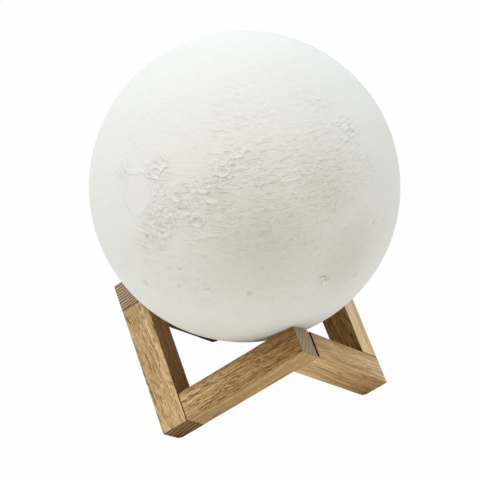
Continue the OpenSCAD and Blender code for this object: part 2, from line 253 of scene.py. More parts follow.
def add_streak(height, points, centre, length_mm, width_mm, rise):
    """A long low mark along the moon's printed layers."""
    east = np.cross([0, 0, 1], centre)
    east /= np.linalg.norm(east)
    along = points @ east * MOON_RADIUS / MM
    up = (points - centre) @ np.cross(centre, east) * MOON_RADIUS / MM
    height += rise * np.exp(-(along / length_mm) ** 4 - (up / width_mm) ** 2) * (points @ centre > 0)


def behind(points):
    """0 where the photograph shows the moon and 1 on its far side."""
    return 1 - smooth_step(points @ np.array(on_moon(*PICTURE_MIDDLE)), -0.1, 0.3)


def ground_roughness(points):
    """From 0 on smooth ground to 0.9 on the roughest: in front by ROUGH_BAND, on the far side by chance."""
    low = field(points, 1.6, 2, Vector((3.1, 7.7, 1.9)))
    rough = smooth_step(low, -0.12, 0.40) * 0.85 * behind(points) + 0.05
    for place, strength in ROUGH_BAND:
        centre, radius = photo_spot(place)
        away = np.arccos(np.clip(points @ centre, -1, 1)) * MOON_RADIUS / MM
        rough = np.maximum(rough, strength * (1 - smooth_step(away, radius * 0.35, radius * 1.35)))
    centre, radius = photo_spot(PLAIN_LEFT)
    away = np.arccos(np.clip(points @ centre, -1, 1)) * MOON_RADIUS / MM
    near_neck = 1 - 0.85 * smooth_step(-points[:, 2], 0.7, 0.9)
    return rough * smooth_step(away, radius * 0.8, radius * 1.15) * near_neck


def print_tone_and_painted_shade(points):
    """0 on white print and up to 1 where it is a little darker: the print's random tone on the far side, and painted
    shade at spots on the front.
    """
    print_tone_and_shade = 0.36 * behind(points) * smooth_step(field(points, 1.9, 2, Vector((5.7, 2.2, 8.4))), -0.1, 0.4)
    for place, share in PAINTED_SHADE_SPOTS:
        centre, radius = photo_spot(place)
        away = np.arccos(np.clip(points @ centre, -1, 1)) * MOON_RADIUS / MM
        print_tone_and_shade = np.maximum(print_tone_and_shade, share * np.exp(-(away / radius / 0.62) ** 2))
    return print_tone_and_shade


def moon_relief(points):
    """For each point: how far it lies below the ball's outline, in metres, the share of that which is small
    marks, in millimetres, and how rough the ground is."""
    rough = ground_roughness(points)
    swell = 0.06 * field(points, 2.1, 2, Vector((6.1, 2.7, 4.9)))
    swell += 0.20 * field(points, 7, 2, Vector((9.2, 1.4, 5.5))) * (0.10 + 0.6 * rough)
    groups = smooth_step(field(points, 8, 2, Vector((4.4, 5.8, 0.7))), -0.35, 0.45)
    stretched = points * np.array([1, 1, 2.8])
    height = 0.28 * field(stretched, 20, 2, Vector((2.2, 8.1, 4.7)), 0.8) * (0.02 + rough * (0.35 + 0.65 * groups))
    grains = field(points * np.array([1, 1, 1.7]), 33, 1, Vector((7.3, 0.4, 3.6)))
    height += (0.30 * smooth_step(grains, 0.1, 0.5) - 0.2 * smooth_step(grains, -0.3, -0.55)) * rough ** 2 * groups

    for centre in spread_points(LARGE_CRATERS, RANDOM):
        radius = RANDOM.uniform(*LARGE_CRATER_RADIUS)
        far = behind(centre)
        add_crater(height if far > 0.5 else swell, points, centre, radius, (0.006 + 0.020 * far) * radius,
                   0.04 + 0.10 * far, 0.05 + 0.07 * far)
    for centre in spread_points(SMALL_CRATERS, RANDOM):
        radius = 0.8 * RANDOM.uniform(0.05, 1) ** -0.45
        near = rough[np.argmax(points @ centre)]
        depth = (0.05 * radius + 0.08) * (0.10 + 0.90 * near) * (1 + 0.5 * behind(centre))
        add_crater(height, points, centre, radius, depth, depth * 0.55, 0.07)
    for k in range(BAND_CRATERS):
        (x, y, reach), strength = ROUGH_BAND[k % len(ROUGH_BAND)]
        spread = RANDOM.normal(0, 0.45 * reach, 2)
        centre, radius = photo_spot((x + spread[0], y + spread[1], RANDOM.uniform(*BAND_MARK_RADIUS)))
        depth = RANDOM.uniform(0.2, 1.0) * strength * BAND_MARK_DEPTH
        if k % 2:  # a lump instead of a crater
            add_crater(height, points, centre, radius * 0.6, depth * -1.2, 0, 0.10)
        else:
            add_crater(height, points, centre, radius, depth * 0.9, depth * 0.8, 0.10)
    for place, depth, rim, peak in CRATERS:
        centre, radius = photo_spot(place)
        add_crater(height, points, centre, radius, depth, rim, 0.12, peak)
    for place, width, rise in STREAKS:
        centre, length = photo_spot(place)
        add_streak(height, points, centre, length, width, rise)
    total = swell + height
    total -= np.percentile(total, MOST_AT_LEVEL)
    return -np.logaddexp(0, -total / TOP_ROUNDING) * TOP_ROUNDING * MM, height, rough


# ---------------------------------------------------------------- the moon: one hollow printed shell
# The shell's rings, from the top down: how many there are to each polar angle, closest together over the front
RING_SPREAD = ((40, 46), (112, 190), (None, 62))
MOON_RINGS = sum(count for angle, count in RING_SPREAD)
MOON_SEGMENTS = 640  # in a ring near the equator; rings near the poles have a half, a quarter and so on
FEWEST_SEGMENTS = 40
INNER_RINGS = 40
INNER_SEGMENTS = 80
FADING_RINGS = 6  # the relief fades out over these, above the neck


def ring_segments(polar):
    """How many points the ring at a polar angle has, so that all faces are about as wide as high."""
    count, share = MOON_SEGMENTS, math.sin(polar)
    while share < 0.5 and count > FEWEST_SEGMENTS:
        count, share = count // 2, share * 2
    return count


def stitch(faces, upper, upper_count, lower, lower_count):
    """Faces between two rings, given the first point and the number of points of each."""
    if upper_count == lower_count:
        for s in range(upper_count):
            t = (s + 1) % upper_count
            faces.append((upper + s, lower + s, lower + t, upper + t))
    elif upper_count < lower_count:
        step = lower_count // upper_count
        for s in range(upper_count):
            fine = [lower + (s * step + i) % lower_count for i in range(step + 1)]
            faces.append((upper + s, *fine, upper + (s + 1) % upper_count))
    else:
        step = upper_count // lower_count
        for s in range(lower_count):
            fine = [upper + (s * step + i) % upper_count for i in range(step, -1, -1)]
            faces.append((lower + s, lower + (s + 1) % lower_count, *fine))


def make_moon():
    seat_angle = math.acos((SEAT_Z - MOON_CENTRE.z) / MOON_RADIUS)
    points, faces, ring_of = [(0.0, 0.0, 1.0)], [], [0]
    last, last_count = None, 0
    polars = [0.0]
    for end, count in RING_SPREAD:
        polars += list(np.linspace(polars[-1], math.radians(end) if end else seat_angle, count + 1)[1:])
    for ring, polar in enumerate(polars[1:], 1):
        count, first = ring_segments(polar), len(points)
        for turn in np.arange(count) * (2 * math.pi / count):
            points.append((math.sin(polar) * math.cos(turn), math.sin(polar) * math.sin(turn), math.cos(polar)))
        ring_of += [ring] * count
        if last is None:
            faces += [(0, first + s, first + (s + 1) % count) for s in range(count)]
        else:
            stitch(faces, last, last_count, first, count)
        last, last_count = first, count
    points = np.array(points)
    drop, marks, rough = moon_relief(points)
    print_tone_and_shade = print_tone_and_painted_shade(points)
    drop *= 1 - smooth_step(np.array(ring_of), MOON_RINGS - FADING_RINGS, MOON_RINGS)
    places = points * (MOON_RADIUS + drop)[:, None]
    verts = [tuple(v) for v in places]

    def add_ring(radius, z, count):
        nonlocal last, last_count
        first = len(verts)
        for turn in np.arange(count) * (2 * math.pi / count):
            verts.append((radius * math.cos(turn), radius * math.sin(turn), z))
        stitch(faces, last, last_count, first, count)
        last, last_count = first, count

    inner_radius = MOON_RADIUS - SHELL_WALL
    inner_z = -math.sqrt(inner_radius ** 2 - NECK_RADIUS ** 2)
    add_ring(NECK_RADIUS, SEAT_Z - MOON_CENTRE.z, last_count)
    add_ring(NECK_RADIUS, inner_z, last_count)
    start_angle = math.acos(inner_z / inner_radius)
    for k in range(1, INNER_RINGS):
        angle = start_angle * (1 - k / INNER_RINGS)
        add_ring(inner_radius * math.sin(angle), inner_radius * math.cos(angle), INNER_SEGMENTS)
    verts.append((0, 0, inner_radius))
    for s in range(INNER_SEGMENTS):
        faces.append((last + s, last + (s + 1) % INNER_SEGMENTS, len(verts) - 1))

    mesh = bpy.data.meshes.new("moon_shell_printed")
    mesh.from_pydata(verts, [], faces)
    mesh.update()
    work = bmesh.new()
    work.from_mesh(mesh)
    bmesh.ops.recalc_face_normals(work, faces=work.faces)
    work.to_mesh(mesh)
    work.free()
    mesh.transform(Matrix.Translation(MOON_CENTRE))
    mesh.shade_smooth()
    for name, known in (("rough_ground", rough), ("marks", marks), ("print_tone_and_shade", print_tone_and_shade)):
        values = np.zeros(len(mesh.vertices), np.float32)
        values[:len(known)] = known
        mesh.attributes.new(name, "FLOAT", "POINT").data.foreach_set("value", values)
    return new_object("moon_shell_printed", mesh, "moon", ["moon_shell"])


# ---------------------------------------------------------------- the stand: six bars from one drawing
EDGE_RADIUS = 0.25 * MM  # of the long edges
END_EDGE_RADIUS = 0.05 * MM
CUBE_TILT = math.atan(math.sqrt(2))
SHARP_ANGLE = math.radians(35)
# The look of a bar's faces, in its own axes, with +X its far end: how light each is at the bar's start and at its
# end, how streaked, and, where it isn't the usual, how much it shows end grain
# How light a face is paints light and shade for the most part: faces inside the stand and under the moon are painted
# darker, as in its shadow, some grade along the bar as that shade does, and outer faces that catch the light are
# painted lighter
OUTSIDE, INSIDE = (1.0, 1.0, 0.6), (0.8, 0.8, 0.4)
FACE_LOOKS = {
    "bar_front_left": {"-Y": (1.13, 0.60, 1.0), "-Z": (1.01, 0.98, 0.5)},
    "bar_front_right": {"+Z": (0.84, 1.18, 0.3), "-Y": (1.16, 0.76, 0.25)},
    "bar_right": {"-Y": (1.31, 1.26, 0.2), "+Z": (0.50, 0.48, 0.7)},
    "bar_left": {"+Z": (1.19, 1.17, 0.7), "+Y": (0.70, 0.10, 0.3), "+X": (0.62, 0.62, 0.9, 0.8)},
    "bar_back_left": {"+X": (1.10, 1.10, 0.4), "+Y": (0.14, 0.2, 0.3), "+Z": (0.3, 0.3, 0.3)},
    "bar_back_right": {"-Z": (0.3, 0.1, 0.3)},
}
# Start faces, which sit in the joints, are painted almost black: painted shade deep in the gap between the bars
JOINT_GAP_SHADE = (0.03, 0.03, 0.0)
RISING_INSIDE, FALLING_INSIDE = ("+Y", "+Z"), ("+Y", "-Z")


def bar_places():
    """(node, matrix, is falling, stands open) of each bar; its length runs along +X from a corner of the zig-zag."""
    names = (("bar_front_left", "bar_front_right"), ("bar_right", "bar_back_right"), ("bar_back_left", "bar_left"))
    half = Vector((1, 1, 1)) * BAR_LENGTH / 2
    for third, (rising, falling) in enumerate(names):
        cube = (Matrix.Rotation(math.radians(third * 120 - 90), 4, "Z") @ Matrix.Translation(CUBE_CENTRE)
                @ Matrix.Rotation(-CUBE_TILT, 4, "Y") @ Matrix.Rotation(math.radians(-45), 4, "Z")
                @ Matrix.Translation(-half))
        up = cube @ Matrix.Translation((BAR_LENGTH, 0, 0)) @ Matrix.Rotation(math.radians(90), 4, "Z")
        down = (cube @ Matrix.Translation((BAR_LENGTH, BAR_LENGTH, 0)) @ Matrix.Rotation(math.radians(180), 4, "Z")
                @ Matrix.Rotation(math.radians(90), 4, "X"))
        yield rising, up, False, False
        yield falling, down, True, third == 0


def bar_blank(name, matrix, falling):
    """A square bar with rounded edges, its foot tip sawn level."""
    work = bmesh.new()
    bmesh.ops.create_cube(work, size=1)
    for v in work.verts:
        v.co = Vector(((BAR_WIDTH + BAR_LENGTH) / 2 + v.co.x * BAR_LENGTH, v.co.y * BAR_WIDTH, v.co.z * BAR_WIDTH))
    # The four long edges run along X, the others across it
    for low, high, radius in ((0.5, 1, EDGE_RADIUS), (-1, 0.5, END_EDGE_RADIUS)):
        edges = [e for e in work.edges if low < abs((e.verts[1].co - e.verts[0].co).normalized().x) <= high]
        bmesh.ops.bevel(work, geom=edges, offset=radius, segments=3, profile=0.5, affect="EDGES")
    if falling:
        floor = matrix.inverted()
        bmesh.ops.bisect_plane(work, geom=work.verts[:] + work.edges[:] + work.faces[:], dist=1e-7,
                               plane_co=floor @ Vector((0, 0, 0)), plane_no=floor.to_3x3() @ Vector((0, 0, 1)),
                               clear_inner=True)
        bmesh.ops.holes_fill(work, edges=[e for e in work.edges if e.is_boundary])
    mesh = bpy.data.meshes.new(name)
    work.to_mesh(mesh)
    work.free()
    return mesh


def cut_away(piece, work):
    """Takes the solid in a bmesh off a piece."""
    bmesh.ops.recalc_face_normals(work, faces=work.faces)
    mesh = bpy.data.meshes.new("tool")
    work.to_mesh(mesh)
    work.free()
    tool = bpy.data.objects.new("tool", mesh)
    scene.collection.objects.link(tool)
    cut = piece.modifiers.new("cut", "BOOLEAN")
    cut.object, cut.solver, cut.operation = tool, "EXACT", "DIFFERENCE"
    bpy.context.view_layer.update()
    left = bpy.data.meshes.new_from_object(piece.evaluated_get(bpy.context.evaluated_depsgraph_get()))
    left.name = piece.name
    piece.modifiers.clear()
    piece.data = left
    bpy.data.objects.remove(tool)


def dowel_drills():
    """The two blind dowel holes of a bar, one in its start face and one in its side."""
    side_room, end_room, out = 0.05 * MM, 0.5 * MM, 1 * MM
    work = bmesh.new()
    for mouth, axis, depth in ((Vector((BAR_WIDTH / 2, 0, 0)), Vector((1, 0, 0)), DOWEL_IN_END),
                               (Vector((BAR_LENGTH, BAR_WIDTH / 2, 0)), Vector((0, -1, 0)), DOWEL_IN_SIDE)):
        long = depth + end_room + out
        bmesh.ops.create_cone(work, cap_ends=True, segments=48, radius1=DOWEL_RADIUS + side_room,
                              radius2=DOWEL_RADIUS + side_room, depth=long,
                              matrix=Matrix.Translation(mouth + axis * (long / 2 - out))
                              @ axis.to_track_quat("Z", "Y").to_matrix().to_4x4())
    return work


def open_wedge():
    """The wedge of air where the start face of a bar stands off its neighbour, widest at the +Z side."""
    out = 1 * MM
    section = [(-out, -OPEN_DEPTH), (0, -OPEN_DEPTH), (OPEN_JOINT * (1 + out / OPEN_DEPTH), out), (-out, out)]
    work = bmesh.new()
    ends = [[work.verts.new((BAR_WIDTH / 2 + x, y, BAR_WIDTH / 2 + z)) for x, z in section]
            for y in (CLOSED_EDGE - BAR_WIDTH / 2, BAR_WIDTH / 2 + out)]
    work.faces.new(ends[0])
    work.faces.new(reversed(ends[1]))
    for k in range(4):
        work.faces.new((ends[0][k], ends[1][k], ends[1][k - 1], ends[0][k - 1]))
    return work


def seat_ball(matrix):
    """The ball whose lower side is the dish in a peak, in the bar's own axes."""
    work = bmesh.new()
    bmesh.ops.create_uvsphere(work, u_segments=192, v_segments=96, radius=SEAT_RADIUS,
                              matrix=Matrix.Translation(matrix.inverted() @ MOON_CENTRE))
    return work


def paint_faces(mesh, node, falling):
    """Keeps each point's place in the bar, in millimetres, and how each face looks, with the light and shade painted
    on it.
    """
    looks = FACE_LOOKS.get(node, {})
    inside = FALLING_INSIDE if falling else RISING_INSIDE
    place = mesh.attributes.new("bar_place", "FLOAT_VECTOR", "POINT")
    place.data.foreach_set("vector", [c / MM for v in mesh.vertices for c in v.co])
    values = {"start_tone_and_shade": [], "end_tone_and_shade": [], "streaks": [], "end_grain": []}
    for face in mesh.polygons:
        axis = max(range(3), key=lambda k: abs(face.normal[k]))
        name = ("+" if face.normal[axis] > 0 else "-") + "XYZ"[axis]
        usual = JOINT_GAP_SHADE if name == "-X" else INSIDE if name in inside else OUTSIDE
        known = (*looks.get(name, usual), 1.0 if axis == 0 else 0.0)
        for kind, number in zip(values, known):
            values[kind].append(number)
    for name, numbers in values.items():
        mesh.attributes.new(name, "FLOAT", "FACE").data.foreach_set("value", numbers)


def make_bars():
    bars = []
    for node, matrix, falling, stands_open in bar_places():
        piece = bpy.data.objects.new(node + "_wood", bar_blank(node + "_wood", matrix, falling))
        scene.collection.objects.link(piece)
        cut_away(piece, dowel_drills())
        if stands_open:
            cut_away(piece, open_wedge())
        if not falling:
            cut_away(piece, seat_ball(matrix))
        paint_faces(piece.data, node, falling)
        piece.data.transform(matrix)
        piece.data.shade_smooth()
        piece.data.set_sharp_from_angle(angle=SHARP_ANGLE)
        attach(piece, "stand")
        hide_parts(node)
        bars.append(piece)
    return bars


# ---------------------------------------------------------------- materials
def srgb(red, green, blue):
    """A colour as a picture gives it, 0 to 255, in the renderer's linear values."""
    def linear(value):
        share = value / 255
        return share / 12.92 if share <= 0.04045 else ((share + 0.055) / 1.055) ** 2.4
    return (linear(red), linear(green), linear(blue), 1)


class Nodes:
    """Short names for building the nodes of a material or world."""

    def __init__(self, owner):
        self.owner = owner
        owner.use_nodes = True
        self.tree = owner.node_tree
        self.shader = self.tree.nodes.get("Principled BSDF") or self.tree.nodes["Background"]

    def put(self, inputs, socket, value):
        if isinstance(value, bpy.types.NodeSocket):
            self.tree.links.new(value, inputs[socket])
        elif value is not None:
            inputs[socket].default_value = value

    def add(self, kind, out=0, inputs=None, **settings):
        node = self.tree.nodes.new(kind)
        for key, value in settings.items():
            setattr(node, key, value)
        for socket, value in (inputs or {}).items():
            self.put(node.inputs, socket, value)
        return node.outputs[out]

    def place(self):
        return self.add("ShaderNodeTexCoord", "Object")

    def value_of(self, attribute):
        return self.add("ShaderNodeAttribute", "Fac", attribute_name=attribute)

    def parts(self, vector):
        split = self.tree.nodes.new("ShaderNodeSeparateXYZ")
        self.tree.links.new(vector, split.inputs[0])
        return split.outputs

    def moved(self, vector, scale=(1, 1, 1), rotation=(0, 0, 0), location=(0, 0, 0)):
        return self.add("ShaderNodeMapping", 0, {"Vector": vector, "Scale": scale, "Rotation": rotation,
                                                 "Location": location})

    def noise(self, vector, scale, detail=3.0, rough=0.5, distortion=0.0):
        return self.add("ShaderNodeTexNoise", 0, {"Vector": vector, "Scale": scale, "Detail": detail,
                                                  "Roughness": rough, "Distortion": distortion})

    def math(self, operation, first, second=0.5, third=0.5, clamp=False):
        return self.add("ShaderNodeMath", 0, {0: first, 1: second, 2: third}, operation=operation, use_clamp=clamp)

    def span(self, value, low, high, to_low=0.0, to_high=1.0, smooth=True):
        return self.add("ShaderNodeMapRange", 0, {0: value, 1: low, 2: high, 3: to_low, 4: to_high},
                        interpolation_type="SMOOTHSTEP" if smooth else "LINEAR")

    def mix(self, share, first, second, blend="MIX"):
        node = self.tree.nodes.new("ShaderNodeMix")
        node.data_type, node.blend_type = "RGBA", blend
        self.put(node.inputs, 0, share)
        self.put(node.inputs, 6, first)
        self.put(node.inputs, 7, second)
        return node.outputs[2]

    def ramp(self, value, stops):
        node = self.tree.nodes.new("ShaderNodeValToRGB")
        self.tree.links.new(value, node.inputs[0])
        points = node.color_ramp.elements
        while len(points) < len(stops):
            points.new(0.5)
        for point, (at, colour) in zip(points, stops):
            point.position, point.color = at, colour
        return node.outputs[0]

    def bump(self, height, distance, strength=1.0, normal=None):
        return self.add("ShaderNodeBump", 0, {"Height": height, "Distance": distance, "Strength": strength,
                                              "Normal": normal})

    def finish(self, **sockets):
        for socket, value in sockets.items():
            self.put(self.shader.inputs, socket.replace("_", " "), value)
        return self.owner


# Wood, from the photograph
WOOD_LIGHT = srgb(238, 206, 153)
WOOD_MIDDLE = srgb(216, 181, 126)
WOOD_DARK = srgb(168, 131, 84)
WOOD_PORE = srgb(94, 56, 24)
END_LIGHT = srgb(192, 167, 136)
END_MIDDLE = srgb(154, 132, 101)
END_DARK = srgb(96, 72, 52)
SHADE_GREEN, SHADE_BLUE = 1.3, 1.9  # darker wood, and the shade painted on it, is also browner: the power of its shade in green and in blue
# How fine each kind of grain is along the bar and across it, per millimetre
SWAY_GRAIN = (0.02, 0.05, 0.05)
RING_GRAIN = (0.05, 0.35, 0.35)
FIBRE_GRAIN = (0.03, 1.6, 1.6)
BAND_GRAIN = (0.008, 0.30, 0.30)
LINE_GRAIN = (0.012, 0.34, 0.34)
BREAK_GRAIN = (0.14, 0.9, 0.9)
DASH_GRAIN = (0.27, 3.9, 3.9)
SPECK_GRAIN = (0.8, 2.5, 2.5)
WOOD_BUMP = 0.00012  # metres


def near_arris(n, place):
    """1 close to a bar's edges and 0 on its faces, from a point's place in the bar."""
    x, y, z = n.parts(place)
    half = BAR_WIDTH / 2 / MM
    middle = (BAR_LENGTH + BAR_WIDTH) / 2 / MM
    from_end = n.math("SUBTRACT", BAR_LENGTH / 2 / MM, n.math("ABSOLUTE", n.math("SUBTRACT", x, middle)))
    from_y = n.math("SUBTRACT", half, n.math("ABSOLUTE", y))
    from_z = n.math("SUBTRACT", half, n.math("ABSOLUTE", z))
    low, high = n.math("MINIMUM", from_y, from_z), n.math("MAXIMUM", from_y, from_z)
    second = n.math("MAXIMUM", low, n.math("MINIMUM", high, from_end))
    return n.span(second, 0.2, 0.7, 1.0, 0.0)


def wood_material(name, seed, pith, ring_width, end_contrast, joint_glue_and_shade, slant, lines):
    """Sawn wood, its grain along the bar's own X, with light and shade painted on its faces and at its joints. What
    the values mean stands at GROWTH.
    """
    n = Nodes(bpy.data.materials.new(name))
    place = n.add("ShaderNodeAttribute", "Vector", attribute_name="bar_place")
    from_start = n.math("SUBTRACT", n.parts(place)[0], BAR_WIDTH / 2 / MM)
    sway = n.noise(n.moved(place, SWAY_GRAIN, location=(seed * 7.0, 0, 0)), 1.0, 2)
    sway = n.math("MULTIPLY", sway, 5.0)
    bent = n.add("ShaderNodeCombineXYZ", 0, {1: n.math("MULTIPLY_ADD", from_start, -slant, sway), 2: sway})
    bent = n.add("ShaderNodeVectorMath", 0, {0: place, 1: bent}, operation="ADD")
    own = n.moved(bent, location=(seed * 137.0, seed * 31.0, seed * -17.0))
    y, z = n.parts(bent)[1:]
    y, z = n.math("SUBTRACT", y, pith[0]), n.math("SUBTRACT", z, pith[1])
    radius = n.math("SQRT", n.math("ADD", n.math("MULTIPLY", y, y), n.math("MULTIPLY", z, z)))
    radius = n.math("MULTIPLY_ADD", n.noise(n.moved(own, RING_GRAIN), 1.0, 2), 1.2, radius)
    ring = n.math("FRACT", n.math("DIVIDE", radius, ring_width))
    late = n.math("MULTIPLY", n.span(ring, 0.40, 0.92), n.span(ring, 1.0, 0.94))

    fibre = n.noise(n.moved(own, FIBRE_GRAIN), 1.0, 4, 0.7)
    band = n.noise(n.moved(own, BAND_GRAIN), 1.0, 2)
    blend = n.math("ADD", n.math("MULTIPLY", fibre, 0.60), n.math("MULTIPLY", band, 0.64))
    colour = n.ramp(blend, [(0.42, WOOD_DARK), (0.62, WOOD_MIDDLE), (0.82, WOOD_LIGHT)])
    colour = n.mix(n.math("MULTIPLY", late, 0.30), colour, WOOD_DARK)
    # Thin dark lines that follow the fibres without crossing, broken into dashes
    flow = n.noise(n.moved(own, LINE_GRAIN), 1.0, 2, 0.5)
    line = n.math("PINGPONG", n.math("MULTIPLY", flow, lines), 0.5)
    line = n.span(line, 0.155, 0.06)
    broken = n.span(n.noise(n.moved(own, BREAK_GRAIN), 1.0, 1.5, 0.6), 0.35, 0.44)
    streaks = n.value_of("streaks")
    dashes = n.span(n.noise(n.moved(own, DASH_GRAIN), 1.0, 1, 0.5), 0.54, 0.575)
    broken = n.math("MULTIPLY", broken, n.span(streaks, 0.0, 1.0, 0.35, 1.0))
    dark = n.math("MAXIMUM", n.math("MULTIPLY", line, broken),
                  n.math("MULTIPLY", dashes, n.math("MULTIPLY_ADD", streaks, 0.66, 0.08)))
    colour = n.mix(n.math("MULTIPLY", dark, 0.92), colour, WOOD_PORE)

    speck = n.noise(n.moved(own, SPECK_GRAIN), 1.0, 2)
    thin = n.math("POWER", ring, 1.8)
    end = n.ramp(n.math("ADD", n.math("MULTIPLY_ADD", n.math("SUBTRACT", thin, 0.4), end_contrast, 0.42),
                        n.math("MULTIPLY", speck, 0.25)),
                 [(0.20, END_LIGHT), (0.60, END_MIDDLE), (0.98, END_DARK)])
    end_grain = n.value_of("end_grain")
    colour = n.mix(end_grain, colour, end)
    far = n.span(from_start, 0.0, BAR_LENGTH / MM, smooth=False)
    # How light the face is from its start to its end: the wood's tone with painted light and shade
    start_tone_and_shade, end_tone_and_shade = n.value_of("start_tone_and_shade"), n.value_of("end_tone_and_shade")
    shade = n.math("MULTIPLY_ADD", n.math("SUBTRACT", end_tone_and_shade, start_tone_and_shade), far, start_tone_and_shade)
    shade = n.math("MULTIPLY", shade, n.math("MULTIPLY_ADD", near_arris(n, place), -0.13, 1.0))
    # Darker near the start, at the joint: a glue line with painted shade in the seam
    shade = n.math("MULTIPLY", shade, n.span(from_start, 0.25, 0.75, 1.0 - joint_glue_and_shade, 1.0))
    grey = n.add("ShaderNodeCombineXYZ", 0, {0: shade, 1: n.math("POWER", shade, SHADE_GREEN),
                                             2: n.math("POWER", shade, SHADE_BLUE)})
    colour = n.mix(1.0, colour, grey, "MULTIPLY")

    height = n.math("SUBTRACT", n.math("MULTIPLY", fibre, 0.5), dark)
    n.shader.inputs["Specular IOR Level"].default_value = 0.2
    return n.finish(Base_Color=colour, Roughness=n.span(fibre, 0.3, 0.7, 0.66, 0.5),
                    Normal=n.bump(height, WOOD_BUMP, 0.5))


MOON_WHITE = srgb(244, 246, 242)
# The hollow, fleck and bright colours below also paint shade in the grooves and dents of the relief and highlights on
# its raised marks, besides the print's own flecks
MOON_HOLLOW = srgb(232, 232, 221)
MOON_FLECK_AND_SHADE = srgb(217, 218, 207)
MOON_FLECK_AND_HIGHLIGHT = srgb(252, 252, 249)
MOON_TONE_AND_SHADE = srgb(236, 232, 226)  # what darkens the white where the print's tone is darker and where shade is painted
# How fine the print's marks are across and upwards, per metre, and the scale of the wave that makes its layers,
# which are 0.3 mm high
PRINT_STREAKS = (300, 300, 950)
PRINT_FLECKS = (270, 270, 700)
PRINT_PITS = (700, 700, 1300)
PRINT_CLOUDS = (22, 22, 40)
PRINT_LAYERS = 1000
PRINT_BUMP = 0.0009  # metres


def moon_material():
    """White printed plastic: flecks and streaks along the layers, coarser where the ground is rough, with painted
    highlights on raised marks and painted shade in dents and grooves.
    """
    n = Nodes(bpy.data.materials.new("printed_moon"))
    place = n.place()
    ground = n.math("MULTIPLY_ADD", n.value_of("rough_ground"), 0.9, 0.06)
    streaks = n.noise(n.moved(place, PRINT_STREAKS), 1.0, 3, 0.62)
    flecks = n.noise(n.moved(place, PRINT_FLECKS), 1.0, 1.5, 0.55)
    pits = n.noise(n.moved(place, PRINT_PITS), 1.0, 2, 0.6)
    cloud = n.noise(n.moved(place, PRINT_CLOUDS), 1.0, 2)
    marks = n.value_of("marks")
    # Painted shade: darker in the relief's dents, and at dark flecks, which the bump sinks
    dark = n.math("MULTIPLY", n.span(flecks, 0.42, 0.30), ground)
    dark = n.math("MAXIMUM", dark, n.span(marks, -0.10, -0.50))
    # Painted highlight: brighter on the relief's raised marks, and at bright flecks, which the bump raises
    bright = n.math("MULTIPLY", n.span(flecks, 0.56, 0.67), ground)
    bright = n.math("MAXIMUM", bright, n.span(marks, 0.07, 0.32))
    # Painted shade in the streaks' grooves, where the bump is low, with a random cloudy tone
    hollow = n.math("MULTIPLY", n.span(streaks, 0.54, 0.38), ground)
    colour = n.mix(n.math("MULTIPLY_ADD", hollow, 0.55, n.math("MULTIPLY", cloud, 0.25)), MOON_WHITE, MOON_HOLLOW)
    colour = n.mix(n.math("MULTIPLY", dark, 0.5), colour, MOON_FLECK_AND_SHADE)
    colour = n.mix(n.math("MULTIPLY", bright, 0.9), colour, MOON_FLECK_AND_HIGHLIGHT)
    # Darker and warmer: the print's random tone on the far side, painted shade on the front
    colour = n.mix(n.value_of("print_tone_and_shade"), colour, n.mix(1.0, colour, MOON_TONE_AND_SHADE, "MULTIPLY"))
    height = n.math("ADD", n.math("MULTIPLY", streaks, ground),
                    n.math("MULTIPLY", pits, n.math("MULTIPLY", ground, 0.5)))
    height = n.math("ADD", height, n.math("SUBTRACT", bright, dark))
    layers = n.add("ShaderNodeTexWave", 1, {"Vector": place, "Scale": PRINT_LAYERS, "Distortion": 0.0},
                   bands_direction="Z")
    height = n.math("ADD", height, n.math("MULTIPLY", layers, 0.02))
    inputs = n.shader.inputs
    inputs["Specular IOR Level"].default_value = 0.3
    inputs["Subsurface Weight"].default_value = 0.2
    inputs["Subsurface Radius"].default_value = (0.9, 0.85, 0.75)
    inputs["Subsurface Scale"].default_value = 0.001
    inputs["Roughness"].default_value = 0.68
    return n.finish(Base_Color=colour, Normal=n.bump(height, PRINT_BUMP, 0.7))


def plain_material(name, colour, rough, metal=0.0, grain=2500, variation=0.025, bump=0.00003):
    n = Nodes(bpy.data.materials.new(name))
    place = n.place()
    cloud = n.noise(n.moved(place, (grain, grain, grain)), 1.0, 3, 0.6)
    darker = tuple(c * (1 - 2 * variation) for c in colour[:3]) + (1,)
    shade = n.mix(n.span(cloud, 0.3, 0.7), colour, darker)
    inputs = n.shader.inputs
    inputs["Metallic"].default_value = metal
    inputs["Specular IOR Level"].default_value = 0.45
    return n.finish(Base_Color=shade, Roughness=n.span(cloud, 0.3, 0.7, rough - 0.05, rough + 0.08),
                    Normal=n.bump(cloud, bump, 0.5))


def turned_metal(name, colour):
    """Bright metal with the fine rings of a lathe round the object's upright axis."""
    n = Nodes(bpy.data.materials.new(name))
    place = n.place()
    rings = n.add("ShaderNodeTexWave", 1, {"Vector": place, "Scale": 900, "Distortion": 0.4}, wave_type="RINGS",
                  rings_direction="Z")
    wear = n.noise(n.moved(place, (300, 300, 300)), 1.0, 4, 0.6)
    n.shader.inputs["Metallic"].default_value = 1.0
    n.shader.inputs["Base Color"].default_value = colour
    return n.finish(Roughness=n.span(wear, 0.3, 0.7, 0.24, 0.38), Normal=n.bump(rings, 0.00002, 0.5))


def soften(piece, radius):
    """Rounds a frame piece's edges."""
    flat = piece.modifiers.new("flat", "DECIMATE")
    flat.decimate_type, flat.angle_limit = "DISSOLVE", math.radians(1)
    edge = piece.modifiers.new("edge", "BEVEL")
    edge.limit_method, edge.angle_limit = "ANGLE", SHARP_ANGLE
    edge.width, edge.segments = radius, 3
    edge.harden_normals = False
    piece.data.shade_smooth()
    smooth = piece.modifiers.new("smooth", "WEIGHTED_NORMAL")
    smooth.keep_sharp = True


def dress(piece, material):
    piece.data.materials.clear()
    piece.data.materials.append(material)


# ---------------------------------------------------------------- build the pieces
dress(make_moon(), moon_material())
